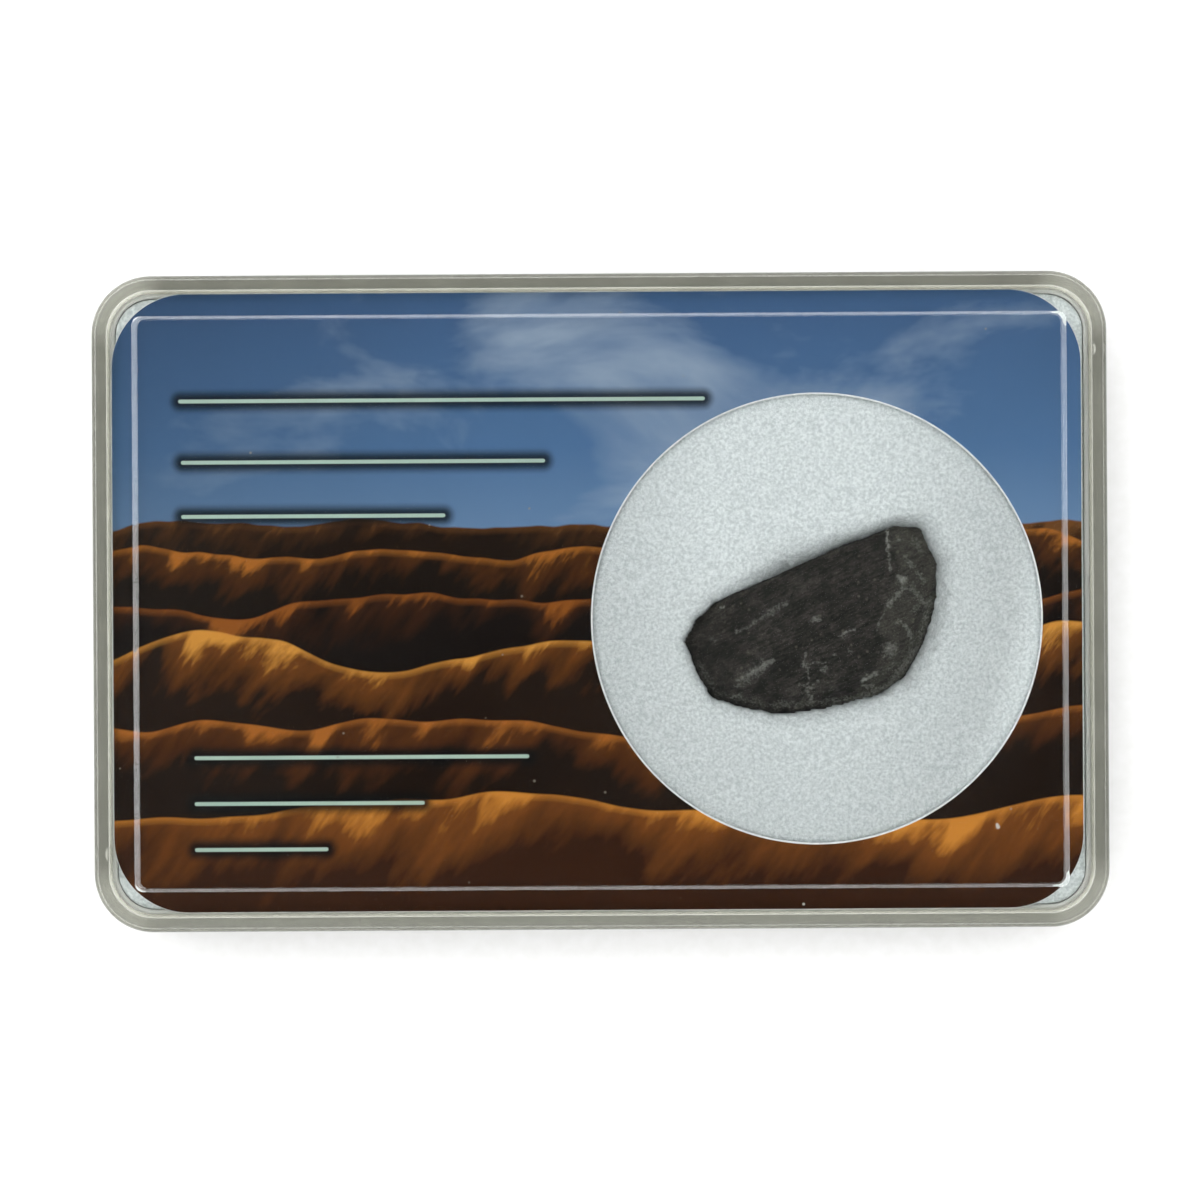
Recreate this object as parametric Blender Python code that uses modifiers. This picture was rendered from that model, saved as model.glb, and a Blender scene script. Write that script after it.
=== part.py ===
"""Boxed stone specimen: a clear lift-off box, a printed card with a round window, a foam pad and a dark stone.

Lengths are in metres. The origin is at the bottom centre of the box. +X runs along its long side and
+Z points out of the lid.
"""
import math

import bmesh
import bpy
from mathutils import Vector, noise

MM = 0.001

# Plan size, height and corner radius of the closed box
BOX_LENGTH = 86.0 * MM
BOX_WIDTH = 55.6 * MM
BOX_HEIGHT = 13.0 * MM
CORNER_RADIUS = 5.0 * MM
EDGE_RADIUS = 0.4 * MM

# Clearance that keeps neighbouring solids apart
GAP = 0.3 * MM

# Base: a flush lower wall with a neck that the lid slides over
SEAM_HEIGHT = 4.7 * MM
FLOOR_THICKNESS = 1.2 * MM
NECK_TOP = 10.55 * MM
NECK_WALL = 0.65 * MM

# Lid: skirt, flat top and the shallow step round the middle panel
LID_WALL = 1.1 * MM
LID_CEILING = 11.5 * MM
STEP_INSET = 3.7 * MM
STEP_DEPTH = 0.2 * MM
STEP_RUN = 0.2 * MM
STEP_RADIUS = 1.4 * MM

# Snap bumps on the two short sides, at opposite ends
BUMP_Y = 21.3 * MM
BUMP_Z = 7.6 * MM
BUMP_LENGTH = 1.0 * MM
BUMP_TALL = 0.8 * MM
BUMP_REACH = 0.55 * MM

# Card lying on the rim of the neck, under the lid
CARD_LENGTH = 82.4 * MM
CARD_WIDTH = 52.6 * MM
CARD_SHIFT = (-0.25 * MM, 0.05 * MM)
CARD_THICKNESS = 0.3 * MM
CARD_CORNER = 6.35 * MM
WINDOW_DIAMETER = 38.1 * MM
WINDOW_CENTRE = (18.37 * MM, -1.55 * MM)

# Foam pad filling the base up to the card
FOAM_TOP = 10.5 * MM
FOAM_EDGE = 0.8 * MM
POCKET_GAP = 0.45 * MM
MOUTH_LEVEL = 9.0 * MM
MOUTH_BOTTOM = 8.6 * MM
MOUTH_LEAN = -50.0

# Stone: middle of its outline, the level that its facets are measured from, its top and its underside
STONE_CENTRE = (18.14 * MM, -1.68 * MM)
STONE_LEVEL = 9.4 * MM
STONE_TOP = 11.1 * MM
STONE_GRAIN = 0.36 * MM
STONE_TRIANGLES = 5200

# Small chips knocked off the stone's edges all round, above and below: count, least and most depth
CHIP_COUNT = 34
CHIP_SHALLOW = 0.20 * MM
CHIP_DEEP = 0.70 * MM
GOLDEN_TURN = 137.5

# Side facets: direction round the stone in degrees, distance of the outline in mm, height of the
# outline above the stone's level in mm, lean of the face above it and of the face below it in degrees
STONE_SIDES = (
    (-154.7, 11.09, 0.0, 34.0, -20.0),
    (-105.4, 8.93, -0.2, 42.0, -15.0),
    (-85.0, 8.02, -0.1, 44.0, -18.0),
    (-76.4, 8.12, -0.1, 38.0, -24.0),
    (-57.3, 8.77, -0.2, 34.0, -20.0),
    (-36.9, 9.45, -0.2, 30.0, -18.0),
    (-22.3, 9.81, 0.0, 36.0, -16.0),
    (-16.4, 10.11, 0.0, 34.0, -22.0),
    (4.5, 11.56, 0.1, 46.0, -20.0),
    (36.0, 12.70, 0.2, 40.0, -26.0),
    (88.4, 8.26, 0.4, 24.0, -14.0),
    (110.0, 5.12, 0.3, 22.0, -12.0),
    (114.0, 4.85, 0.3, 20.0, -10.0),
    (128.3, 6.53, 0.2, 30.0, -16.0),
    (149.2, 8.96, 0.1, 28.0, -26.0),
)

# Broad facets of the top and the underside: direction and lean in degrees, then a point of the face in mm
STONE_TOPS = (
    (100.0, 86.5, (0.0, 0.0, 1.45)),
    (-8.0, 74.0, (5.7, 0.0, 1.45)),
    (200.0, 80.0, (-6.2, 0.0, 1.35)),
    (-92.0, 71.0, (0.0, -5.2, 1.05)),
)
STONE_UNDERS = (
    (0.0, -90.0, (0.0, 0.0, -4.3)),
    (25.0, -62.0, (4.5, 0.0, -3.9)),
    (170.0, -66.0, (-5.0, 0.0, -3.9)),
    (-80.0, -58.0, (0.0, -3.4, -3.8)),
    (95.0, -60.0, (0.0, 2.6, -3.9)),
)

for leftover in list(bpy.data.objects):
    bpy.data.objects.remove(leftover, do_unlink=True)

scene = bpy.context.scene
specimen = bpy.data.collections.new("boxed_stone_specimen")
tools = bpy.data.collections.new("cutters")
scene.collection.children.link(specimen)
scene.collection.children.link(tools)


def file_under(item, collection):
    """Keep an object in one collection only."""
    for owner in list(item.users_collection):
        owner.objects.unlink(item)
    collection.objects.link(item)


def finish_mesh(work, item):
    """Write the edited mesh back with its faces pointing outwards."""
    bmesh.ops.remove_doubles(work, verts=work.verts[:], dist=0.00001)
    bmesh.ops.recalc_face_normals(work, faces=work.faces[:])
    work.to_mesh(item.data)
    work.free()
    item.data.update()


def round_edges(item, radius, segments, wanted):
    """Round the edges that the wanted test picks."""
    work = bmesh.new()
    work.from_mesh(item.data)
    chosen = [edge for edge in work.edges if wanted(edge.verts[0].co, edge.verts[1].co)]
    bmesh.ops.bevel(work, geom=chosen, offset=radius, offset_type="OFFSET", segments=segments,
                    profile=0.5, affect="EDGES", clamp_overlap=True)
    finish_mesh(work, item)


def upright(a, b):
    return abs(a.z - b.z) > 0.00005 and (a.xy - b.xy).length < 0.000001


def level_at(height):
    return lambda a, b: abs(a.z - height) < 0.000001 and abs(b.z - height) < 0.000001


def rounded_block(name, length, width, low, high, radius, segments=9):
    """A block with rounded upright corners, standing on the height low."""
    bpy.ops.mesh.primitive_cube_add(size=1.0, location=(0.0, 0.0, (low + high) / 2))
    block = bpy.context.active_object
    block.name = name
    block.data.name = name
    block.scale = (length, width, high - low)
    bpy.ops.object.transform_apply(location=True, rotation=False, scale=True)
    round_edges(block, radius, segments, upright)
    return block


def shape_with(item, tool, operation):
    """Join or cut with an exact boolean. The tool stays in the scene as a hidden wire shape."""
    step = item.modifiers.new(tool.name, "BOOLEAN")
    step.operation = operation
    step.solver = "EXACT"
    step.object = tool
    bpy.ops.object.select_all(action="DESELECT")
    item.select_set(True)
    bpy.context.view_layer.objects.active = item
    bpy.ops.object.modifier_apply(modifier=step.name)
    tool.hide_render = True
    tool.display_type = "WIRE"
    file_under(tool, tools)


def slide_points(item, offset):
    for point in item.data.vertices:
        point.co += Vector(offset)


def facet(direction, lean, point):
    """A cutting plane given by its direction, its lean and one point of it."""
    turn = math.radians(direction)
    rise = math.radians(lean)
    normal = Vector((math.cos(turn) * math.cos(rise), math.sin(turn) * math.cos(rise), math.sin(rise)))
    return normal, Vector(point)


def stone_point(x, y, z):
    return (STONE_CENTRE[0] + x, STONE_CENTRE[1] + y, STONE_LEVEL + z)


def side_facets(grow, use_upper, use_lower):
    """The facets round the stone, moved outwards by grow."""
    planes = []
    for direction, distance, height, upper, lower in STONE_SIDES:
        turn = math.radians(direction)
        reach = distance * MM
        edge = stone_point(math.cos(turn) * reach, math.sin(turn) * reach, height * MM)
        for lean, used in ((upper, use_upper), (0.0, not use_upper), (lower, use_lower)):
            if used:
                normal, point = facet(direction, lean, edge)
                planes.append((normal, point + normal * grow))
    return planes


def broad_facets(table, grow):
    planes = []
    for direction, lean, (x, y, z) in table:
        normal, point = facet(direction, lean, stone_point(x * MM, y * MM, z * MM))
        planes.append((normal, point + normal * grow))
    return planes


def cut_block(name, planes, top):
    """Cut a plain block with planes, one facet after another."""
    bpy.ops.mesh.primitive_cube_add(size=40.0 * MM, location=stone_point(0.0, 0.0, 0.0))
    block = bpy.context.active_object
    block.name = name
    block.data.name = name
    bpy.ops.object.transform_apply(location=True, rotation=False, scale=True)
    work = bmesh.new()
    work.from_mesh(block.data)
    for normal, point in planes + [(Vector((0.0, 0.0, 1.0)), Vector((0.0, 0.0, top)))]:
        everything = work.verts[:] + work.edges[:] + work.faces[:]
        bmesh.ops.bisect_plane(work, geom=everything, plane_co=point, plane_no=normal,
                               dist=0.0000001, clear_outer=True)
        bmesh.ops.holes_fill(work, edges=work.edges[:], sides=0)
    finish_mesh(work, block)
    return block


def knock_off_chips(block):
    """Cut small flats off whatever stands out most in a spread of directions."""
    work = bmesh.new()
    work.from_mesh(block.data)
    for number in range(CHIP_COUNT):
        share = number / (CHIP_COUNT - 1)
        lean = (42.0 + 26.0 * (number * 0.618 % 1.0)) * (1.0 if number % 3 else -1.0)
        depth = CHIP_SHALLOW + (CHIP_DEEP - CHIP_SHALLOW) * (number * 0.382 % 1.0) * (1.0 - 0.4 * share)
        normal, _ = facet(GOLDEN_TURN * number, lean, (0.0, 0.0, 0.0))
        reach = max(point.co.dot(normal) for point in work.verts)
        everything = work.verts[:] + work.edges[:] + work.faces[:]
        bmesh.ops.bisect_plane(work, geom=everything, plane_co=normal * (reach - depth), plane_no=normal,
                               dist=0.0000001, clear_outer=True)
        bmesh.ops.holes_fill(work, edges=work.edges[:], sides=0)
    finish_mesh(work, block)


def plain_material(name, colour, roughness, alpha=1.0):
    material = bpy.data.materials.new(name)
    material.use_nodes = True
    shader = material.node_tree.nodes["Principled BSDF"]
    shader.inputs["Base Color"].default_value = (*colour, 1.0)
    shader.inputs["Roughness"].default_value = roughness
    shader.inputs["Alpha"].default_value = alpha
    return material


def deliver(item, material, smooth_angle):
    """Name the material, shade the part and file it with the specimen."""
    item.data.materials.clear()
    item.data.materials.append(material)
    bpy.ops.object.select_all(action="DESELECT")
    item.select_set(True)
    bpy.context.view_layer.objects.active = item
    if smooth_angle:
        bpy.ops.object.shade_smooth_by_angle(angle=math.radians(smooth_angle))
    else:
        bpy.ops.object.shade_flat()
    file_under(item, specimen)


# Base of the box: lower wall, neck, hollow and two snap bumps
base = rounded_block("box_base", BOX_LENGTH, BOX_WIDTH, 0.0, SEAM_HEIGHT, CORNER_RADIUS)
round_edges(base, EDGE_RADIUS, 3, level_at(0.0))
neck_inset = LID_WALL + GAP
neck = rounded_block("neck", BOX_LENGTH - 2 * neck_inset, BOX_WIDTH - 2 * neck_inset, 2.0 * MM, NECK_TOP,
                     CORNER_RADIUS - neck_inset)
shape_with(base, neck, "UNION")
hollow_inset = neck_inset + NECK_WALL
hollow = rounded_block("base_hollow", BOX_LENGTH - 2 * hollow_inset, BOX_WIDTH - 2 * hollow_inset,
                       FLOOR_THICKNESS, NECK_TOP + 2.0 * MM, CORNER_RADIUS - hollow_inset)
shape_with(base, hollow, "DIFFERENCE")
neck_face = BOX_LENGTH / 2 - neck_inset
for side in (1.0, -1.0):
    bump = rounded_block("snap_bump", 2 * BUMP_REACH, BUMP_LENGTH, BUMP_Z - BUMP_TALL / 2,
                         BUMP_Z + BUMP_TALL / 2, 0.4 * MM, 4)
    slide_points(bump, (side * neck_face, side * BUMP_Y, 0.0))
    shape_with(base, bump, "UNION")

# Lid of the box: skirt, hollow, the stepped middle panel and two dimples for the bumps
lid = rounded_block("box_lid", BOX_LENGTH, BOX_WIDTH, SEAM_HEIGHT + GAP, BOX_HEIGHT, CORNER_RADIUS)
round_edges(lid, EDGE_RADIUS, 3, level_at(BOX_HEIGHT))
lid_hollow = rounded_block("lid_hollow", BOX_LENGTH - 2 * LID_WALL, BOX_WIDTH - 2 * LID_WALL, 2.0 * MM,
                           LID_CEILING, CORNER_RADIUS - LID_WALL)
round_edges(lid_hollow, GAP, 2, level_at(LID_CEILING))
shape_with(lid, lid_hollow, "DIFFERENCE")
panel = rounded_block("middle_panel", BOX_LENGTH - 2 * STEP_INSET, BOX_WIDTH - 2 * STEP_INSET,
                      BOX_HEIGHT - STEP_DEPTH, BOX_HEIGHT + STEP_DEPTH, STEP_RADIUS, 6)
for point in panel.data.vertices:
    if point.co.z > BOX_HEIGHT:
        point.co.x += math.copysign(2 * STEP_RUN, point.co.x)
        point.co.y += math.copysign(2 * STEP_RUN, point.co.y)
shape_with(lid, panel, "DIFFERENCE")
lid_face = BOX_LENGTH / 2 - LID_WALL
dimple_depth = BUMP_REACH - (lid_face - neck_face) + GAP
for side in (1.0, -1.0):
    dimple = rounded_block("snap_dimple", 2 * dimple_depth, BUMP_LENGTH + 2 * GAP,
                           BUMP_Z - BUMP_TALL / 2 - GAP, BUMP_Z + BUMP_TALL / 2 + GAP, 0.3 * MM, 3)
    slide_points(dimple, (side * lid_face, side * BUMP_Y, 0.0))
    shape_with(lid, dimple, "DIFFERENCE")

# Card with its punched round window
card_low = NECK_TOP + GAP
card = rounded_block("label_card", CARD_LENGTH, CARD_WIDTH, card_low, card_low + CARD_THICKNESS, CARD_CORNER, 14)
slide_points(card, (*CARD_SHIFT, 0.0))
bpy.ops.mesh.primitive_cylinder_add(vertices=120, radius=WINDOW_DIAMETER / 2, depth=4.0 * MM,
                                    location=(*WINDOW_CENTRE, card_low))
window = bpy.context.active_object
window.name = "card_window"
bpy.ops.object.transform_apply(location=True, rotation=False, scale=True)
shape_with(card, window, "DIFFERENCE")

# Stone: a block cut to its facets, then given an uneven broken surface
stone_planes = side_facets(0.0, True, True) + broad_facets(STONE_TOPS + STONE_UNDERS, 0.0)
stone = cut_block("meteorite", stone_planes, 20.0 * MM)
knock_off_chips(stone)
grain = stone.modifiers.new("even_grain", "REMESH")
grain.mode = "VOXEL"
grain.voxel_size = STONE_GRAIN
bpy.ops.object.select_all(action="DESELECT")
stone.select_set(True)
bpy.context.view_layer.objects.active = stone
bpy.ops.object.modifier_apply(modifier=grain.name)
surface = bmesh.new()
surface.from_mesh(stone.data)
surface.normal_update()
moves = []
for point in surface.verts:
    place = point.co / MM
    lumps = noise.noise(place * 0.30 + Vector((3.1, 7.7, 1.3)))
    chips = noise.noise(place * 0.85 + Vector((11.0, 2.0, 5.0)))
    cells = noise.voronoi(place * 0.42 + Vector((0.5, 4.0, 9.0)))[0][0]
    depth = 0.10 * lumps + 0.06 * chips - 0.08 * cells - 0.02
    moves.append(point.normal * min(depth, 0.12) * MM)
for point, move in zip(surface.verts, moves):
    point.co += move
surface.to_mesh(stone.data)
surface.free()
thin_out = stone.modifiers.new("fewer_faces", "DECIMATE")
thin_out.ratio = STONE_TRIANGLES / (2.0 * len(stone.data.polygons))
thin_out.use_collapse_triangulate = True
bpy.ops.object.modifier_apply(modifier=thin_out.name)
highest = max(point.co.z for point in stone.data.vertices)
slide_points(stone, (0.0, 0.0, STONE_TOP - highest))

# Foam pad with a pocket that follows the stone and a mouth that dips towards it
foam_inset = hollow_inset + GAP
foam = rounded_block("foam_pad", BOX_LENGTH - 2 * foam_inset, BOX_WIDTH - 2 * foam_inset,
                     FLOOR_THICKNESS + GAP, FOAM_TOP, CORNER_RADIUS - foam_inset)
round_edges(foam, FOAM_EDGE, 3, level_at(FOAM_TOP))
pocket_planes = side_facets(POCKET_GAP, False, True) + broad_facets(STONE_UNDERS, POCKET_GAP)
pocket = cut_block("stone_pocket", pocket_planes, 16.0 * MM)
shape_with(foam, pocket, "DIFFERENCE")
mouth_planes = []
for direction, distance, _, _, _ in STONE_SIDES:
    turn = math.radians(direction)
    reach = distance * MM + POCKET_GAP
    x = STONE_CENTRE[0] + math.cos(turn) * reach
    y = STONE_CENTRE[1] + math.sin(turn) * reach
    mouth_planes.append(facet(direction, MOUTH_LEAN, (x, y, MOUTH_LEVEL)))
mouth_planes.append((Vector((0.0, 0.0, -1.0)), Vector((0.0, 0.0, MOUTH_BOTTOM))))
mouth = cut_block("pocket_mouth", mouth_planes, 12.0 * MM)
shape_with(foam, mouth, "DIFFERENCE")

# Materials and shading
clear_plastic = (0.86, 0.88, 0.87)
deliver(base, plain_material("clear_plastic_base", clear_plastic, 0.08, 0.35), 30.0)
deliver(lid, plain_material("clear_plastic_lid", clear_plastic, 0.08, 0.30), 30.0)
deliver(foam, plain_material("white_foam", (0.72, 0.75, 0.76), 0.95), 30.0)
deliver(card, plain_material("printed_card", (0.16, 0.09, 0.05), 0.45), 30.0)
deliver(stone, plain_material("dark_stone", (0.030, 0.030, 0.026), 0.85), 0.0)
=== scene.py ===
# %% [markdown]
# # A dark stone in a clear specimen box
# A flat clear box holds a white foam pad. A broken dark stone is pressed into the foam, and a printed
# card with a round window lies over it under the lid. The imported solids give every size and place. This
# lesson builds a finer piece over each of them, and then its material.

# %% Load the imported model
import math

import bmesh
import bpy
import numpy as np
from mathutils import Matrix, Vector, noise
from mathutils.bvhtree import BVHTree


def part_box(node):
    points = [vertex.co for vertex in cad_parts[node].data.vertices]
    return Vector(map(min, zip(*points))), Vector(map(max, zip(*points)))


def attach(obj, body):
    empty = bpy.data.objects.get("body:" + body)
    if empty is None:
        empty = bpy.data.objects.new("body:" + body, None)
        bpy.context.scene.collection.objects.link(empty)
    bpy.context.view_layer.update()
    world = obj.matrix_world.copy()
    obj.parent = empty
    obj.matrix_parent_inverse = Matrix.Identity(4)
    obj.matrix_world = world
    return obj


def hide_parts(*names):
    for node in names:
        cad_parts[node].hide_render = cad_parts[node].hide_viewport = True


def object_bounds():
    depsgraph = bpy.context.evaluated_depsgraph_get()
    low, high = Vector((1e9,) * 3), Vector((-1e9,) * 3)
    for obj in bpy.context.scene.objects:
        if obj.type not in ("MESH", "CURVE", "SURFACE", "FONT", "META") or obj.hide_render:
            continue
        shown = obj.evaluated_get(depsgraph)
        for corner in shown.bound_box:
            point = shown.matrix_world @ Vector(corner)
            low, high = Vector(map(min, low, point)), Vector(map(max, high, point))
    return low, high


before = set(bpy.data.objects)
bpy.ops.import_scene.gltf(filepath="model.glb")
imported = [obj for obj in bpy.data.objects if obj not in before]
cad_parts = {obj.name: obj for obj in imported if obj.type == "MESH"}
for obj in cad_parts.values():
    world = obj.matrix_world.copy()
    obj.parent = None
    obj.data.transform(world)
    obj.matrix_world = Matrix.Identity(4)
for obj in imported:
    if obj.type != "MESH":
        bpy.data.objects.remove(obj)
cad_low, cad_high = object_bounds()
print("packed box, mm:", [round(1000 * v, 2) for v in (*cad_low, *cad_high)])

# %% [markdown]
# ## Measures
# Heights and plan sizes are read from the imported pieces. Walls, corners and the step are moulding values,
# named here once. A moulded neck grows thinner towards its rim, and NECK_WALL is the thin rim that shows.

# %% Name the measures
MM = 0.001
GAP = 0.3 * MM
base_low, base_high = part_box("box_base")
lid_low, lid_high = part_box("box_lid")
foam_low, foam_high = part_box("foam_pad")
card_low, card_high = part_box("label_card")
stone_low, stone_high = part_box("meteorite")

CORNER_RADIUS = 5.0 * MM
LID_WALL = 1.1 * MM
LID_CEILING = card_high.z + 0.35 * MM
EDGE_RADIUS = 0.4 * MM
RIM_WIDTH = 1.6 * MM
STEP_INSET = 3.45 * MM
STEP_RUN = 0.17 * MM
STEP_DEPTH = 0.17 * MM
STEP_EXTRA = 0.10 * MM
STEP_CORNER = 0.7 * MM
NECK_INSET = LID_WALL + GAP
NECK_WALL = 0.45 * MM
SEAM_HEIGHT = lid_low.z - GAP
FLOOR_THICKNESS = foam_low.z - GAP
CARD_CORNER = 6.35 * MM
WINDOW_RADIUS = 19.05 * MM
WINDOW_CENTRE = Vector((18.37 * MM, -1.55 * MM, 0.0))
print("lid from", round(lid_low.z / MM, 2), "to", round(lid_high.z / MM, 2), "mm")

# %% [markdown]
# ## Working as by hand
# Blender's operators act on whatever is selected. Four short helpers keep that tidy: one makes a single
# object active, one names a new primitive and settles it, one selects faces by their place and direction,
# and one selects edges by the faces on both their sides.

# %% Helpers for selecting and finishing
def take(piece):
    """Make one object the only selected and active one."""
    bpy.ops.object.select_all(action="DESELECT")
    piece.select_set(True)
    bpy.context.view_layer.objects.active = piece


def settle(name):
    """Name a new primitive and put its place and size into its mesh, so that its object sits at the origin."""
    piece = bpy.context.active_object
    piece.name = name
    piece.data.name = name
    take(piece)
    bpy.ops.object.transform_apply(location=True, rotation=True, scale=True)
    return piece


def pick_faces(piece, wanted):
    """In edit mode, select the faces whose middle and normal pass the test."""
    bpy.ops.mesh.select_mode(type="FACE")
    bpy.ops.mesh.select_all(action="DESELECT")
    work = bmesh.from_edit_mesh(piece.data)
    for face in work.faces:
        face.select_set(bool(wanted(face.calc_center_median(), face.normal)))
    bmesh.update_edit_mesh(piece.data)


def pick_edges(piece, wanted):
    """In edit mode, select the edges whose ends and neighbouring normals pass the test."""
    bpy.ops.mesh.select_mode(type="EDGE")
    bpy.ops.mesh.select_all(action="DESELECT")
    work = bmesh.from_edit_mesh(piece.data)
    for edge in work.edges:
        normals = [face.normal for face in edge.link_faces]
        edge.select_set(bool(wanted(edge.verts[0].co, edge.verts[1].co, normals)))
    bmesh.update_edit_mesh(piece.data)


def sharp_ring(height):
    """A test for the ring of sharp edges that lies level at one height."""
    def test(a, b, normals):
        level = abs(a.z - height) < 0.01 * MM and abs(b.z - height) < 0.01 * MM
        return level and len(normals) == 2 and normals[0].angle(normals[1]) > math.radians(25)
    return test


def rounded_block(name, low, high, corner, steps):
    """Start a piece from a cube at its real size and place, with its upright corners rounded."""
    middle = (Vector(low) + Vector(high)) / 2
    size = Vector(high) - Vector(low)
    bpy.ops.mesh.primitive_cube_add(size=1.0, location=middle, scale=size)
    piece = settle(name)
    bpy.ops.object.mode_set(mode="EDIT")
    pick_edges(piece, lambda a, b, normals: (a.xy - b.xy).length < 0.001 * MM)
    bpy.ops.mesh.bevel(offset=corner, segments=steps, affect="EDGES")
    bpy.ops.object.mode_set(mode="OBJECT")
    return piece


def round_ring(piece, height, radius, steps):
    """Round the sharp ring of edges at one height. The piece is in edit mode."""
    pick_edges(piece, sharp_ring(height))
    bpy.ops.mesh.bevel(offset=radius, segments=steps, affect="EDGES")


def finish(piece, angle):
    """Merge doubles, turn the faces outwards and shade the rounded edges smoothly."""
    take(piece)
    bpy.ops.object.mode_set(mode="EDIT")
    bpy.ops.mesh.select_all(action="SELECT")
    bpy.ops.mesh.remove_doubles(threshold=0.002 * MM)
    bpy.ops.mesh.normals_make_consistent(inside=False)
    bpy.ops.object.mode_set(mode="OBJECT")
    bpy.ops.object.shade_smooth_by_angle(angle=math.radians(angle))
    triangles = sum(len(face.vertices) - 2 for face in piece.data.polygons)
    print(piece.name, "has", triangles, "triangles")


def keep_flats_flat(piece):
    """Weight the normals by face area, so that large panes stay optically flat beside rounded edges."""
    take(piece)
    bpy.ops.object.modifier_add(type="WEIGHTED_NORMAL")
    step = piece.modifiers[-1]
    step.mode = "FACE_AREA"
    step.weight = 100
    step.keep_sharp = True
    bpy.ops.object.modifier_apply(modifier=step.name)


def combine(piece, tool, operation):
    """Join or cut with an exact boolean and remove the tool."""
    take(piece)
    bpy.ops.object.modifier_add(type="BOOLEAN")
    step = piece.modifiers[-1]
    step.operation = operation
    step.solver = "EXACT"
    step.object = tool
    bpy.ops.object.modifier_apply(modifier=step.name)
    bpy.data.objects.remove(tool, do_unlink=True)


# %% [markdown]
# ## The camera, the floor and the light
# The photograph looks straight down on the closed box with a long lens, so the side walls don't show. The
# box lies almost square in the frame, turned by about a third of a degree. The lens is worked out from
# the width that the frame covers at the lid's height.

# %% Camera and view
FRAME_WIDTH = 101.58 * MM
CAMERA_HEIGHT = 400.0 * MM
SENSOR = 36.0
PHOTO_TURN = 0.35

camera_data = bpy.data.cameras.new("camera")
camera_data.sensor_width = SENSOR
camera_data.lens = SENSOR * CAMERA_HEIGHT / FRAME_WIDTH
camera_data.clip_start = 0.01
camera_data.clip_end = 20.0
camera = bpy.data.objects.new("camera", camera_data)
bpy.context.scene.collection.objects.link(camera)
camera.location = (-0.04 * MM, 0.13 * MM, lid_high.z + CAMERA_HEIGHT)
camera.rotation_euler = (0.0, 0.0, math.radians(-PHOTO_TURN))
bpy.context.scene.camera = camera
bpy.context.scene.view_settings.view_transform = "Standard"
print("lens, mm:", round(camera_data.lens, 1))

# %% [markdown]
# ## Nodes and colours
# Colours are written as sRGB hex values, as read off a colour chart, and turned to the linear values that
# the renderer works in. One helper adds a node with its settings and links.

# %% Helpers for materials
def colour(code):
    """An sRGB hex value as linear RGBA."""
    parts = [int(code[i:i + 2], 16) / 255 for i in (1, 3, 5)]
    linear = [p / 12.92 if p <= 0.04045 else ((p + 0.055) / 1.055) ** 2.4 for p in parts]
    return (*linear, 1.0)


def add(tree, kind, settings=None, links=None):
    """Add a node, set its options, inputs and ramp stops, and link its inputs to sockets or nodes."""
    node = tree.nodes.new("ShaderNode" + kind)
    for name, value in (settings or {}).items():
        if name == "stops":
            ramp = node.color_ramp
            while len(ramp.elements) < len(value):
                ramp.elements.new(0.5)
            for element, (place, code) in zip(ramp.elements, value):
                element.position = place
                element.color = colour(code)
        elif isinstance(name, str) and hasattr(node, name):
            setattr(node, name, value)
        else:
            node.inputs[name].default_value = value
    for name, source in (links or {}).items():
        if isinstance(source, bpy.types.Node):
            source = next(output for output in source.outputs if output.enabled)
        tree.links.new(source, node.inputs[name])
    return node


def place_in_mm(tree):
    """The place on the piece in millimetres, so that each pattern is scaled by a real size."""
    coords = add(tree, "TexCoord")
    in_mm = add(tree, "Mapping", {"Scale": (1000.0, 1000.0, 1000.0)}, {"Vector": coords.outputs["Object"]})
    return in_mm.outputs["Vector"]


def new_material(name):
    """An empty node material with its output, ready for a Principled shader."""
    material = bpy.data.materials.new(name)
    material.use_nodes = True
    tree = material.node_tree
    tree.nodes.clear()
    shader = add(tree, "BsdfPrincipled")
    add(tree, "OutputMaterial", None, {"Surface": shader.outputs["BSDF"]})
    return material, tree, shader


# %% [markdown]
# The floor is a plain sheet of white paper. The light is a soft dome with a bright ring high up, stronger
# from the upper left. The lower sky is dim and the patch straight overhead is dark, because a flat clear
# lid mirrors them into a low camera and into one that looks straight down.

# %% Floor and dome light
bpy.ops.mesh.primitive_plane_add(size=4.0, location=(0.0, 0.0, cad_low.z - 0.02 * MM))
floor = bpy.context.active_object
floor.name = "floor"
paper, tree, shader = new_material("white_backing_paper")
coords = add(tree, "TexCoord")
fibres = add(tree, "TexNoise", {"Scale": 900.0, "Detail": 3.0}, {"Vector": coords.outputs["Object"]})
tint = add(tree, "ValToRGB", {"stops": ((0.3, "#dededd"), (0.7, "#e3e3e3"))}, {"Fac": fibres})
tree.links.new(tint.outputs["Color"], shader.inputs["Base Color"])
shader.inputs["Roughness"].default_value = 0.9
floor.data.materials.append(paper)

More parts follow.
